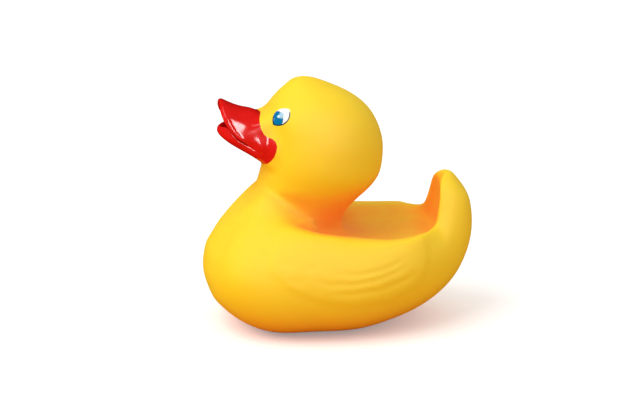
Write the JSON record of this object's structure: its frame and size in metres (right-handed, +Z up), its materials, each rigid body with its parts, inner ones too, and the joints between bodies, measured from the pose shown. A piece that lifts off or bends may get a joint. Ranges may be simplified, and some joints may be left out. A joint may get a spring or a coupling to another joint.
{
  "type": "rubber duck",
  "caption": "Hollow vinyl bath duck with an open red beak, low wings, a dished back and an upturned tail.",
  "frame": {"origin": "centre of the duck's bounding box, at the flat patch it stands on", "axes": "+Z up, -Y towards the beak, +Y towards the tail, X across the duck"},
  "size_m": [0.0794, 0.1071, 0.0987],
  "materials": {
    "yellow_vinyl": "soft satin moulded vinyl, warm yellow; the beak is painted glossy red and the eyes glossy white and blue"
  },
  "bodies": {
    "root": {"duck_body": "yellow_vinyl"}
  },
  "joints": []
}
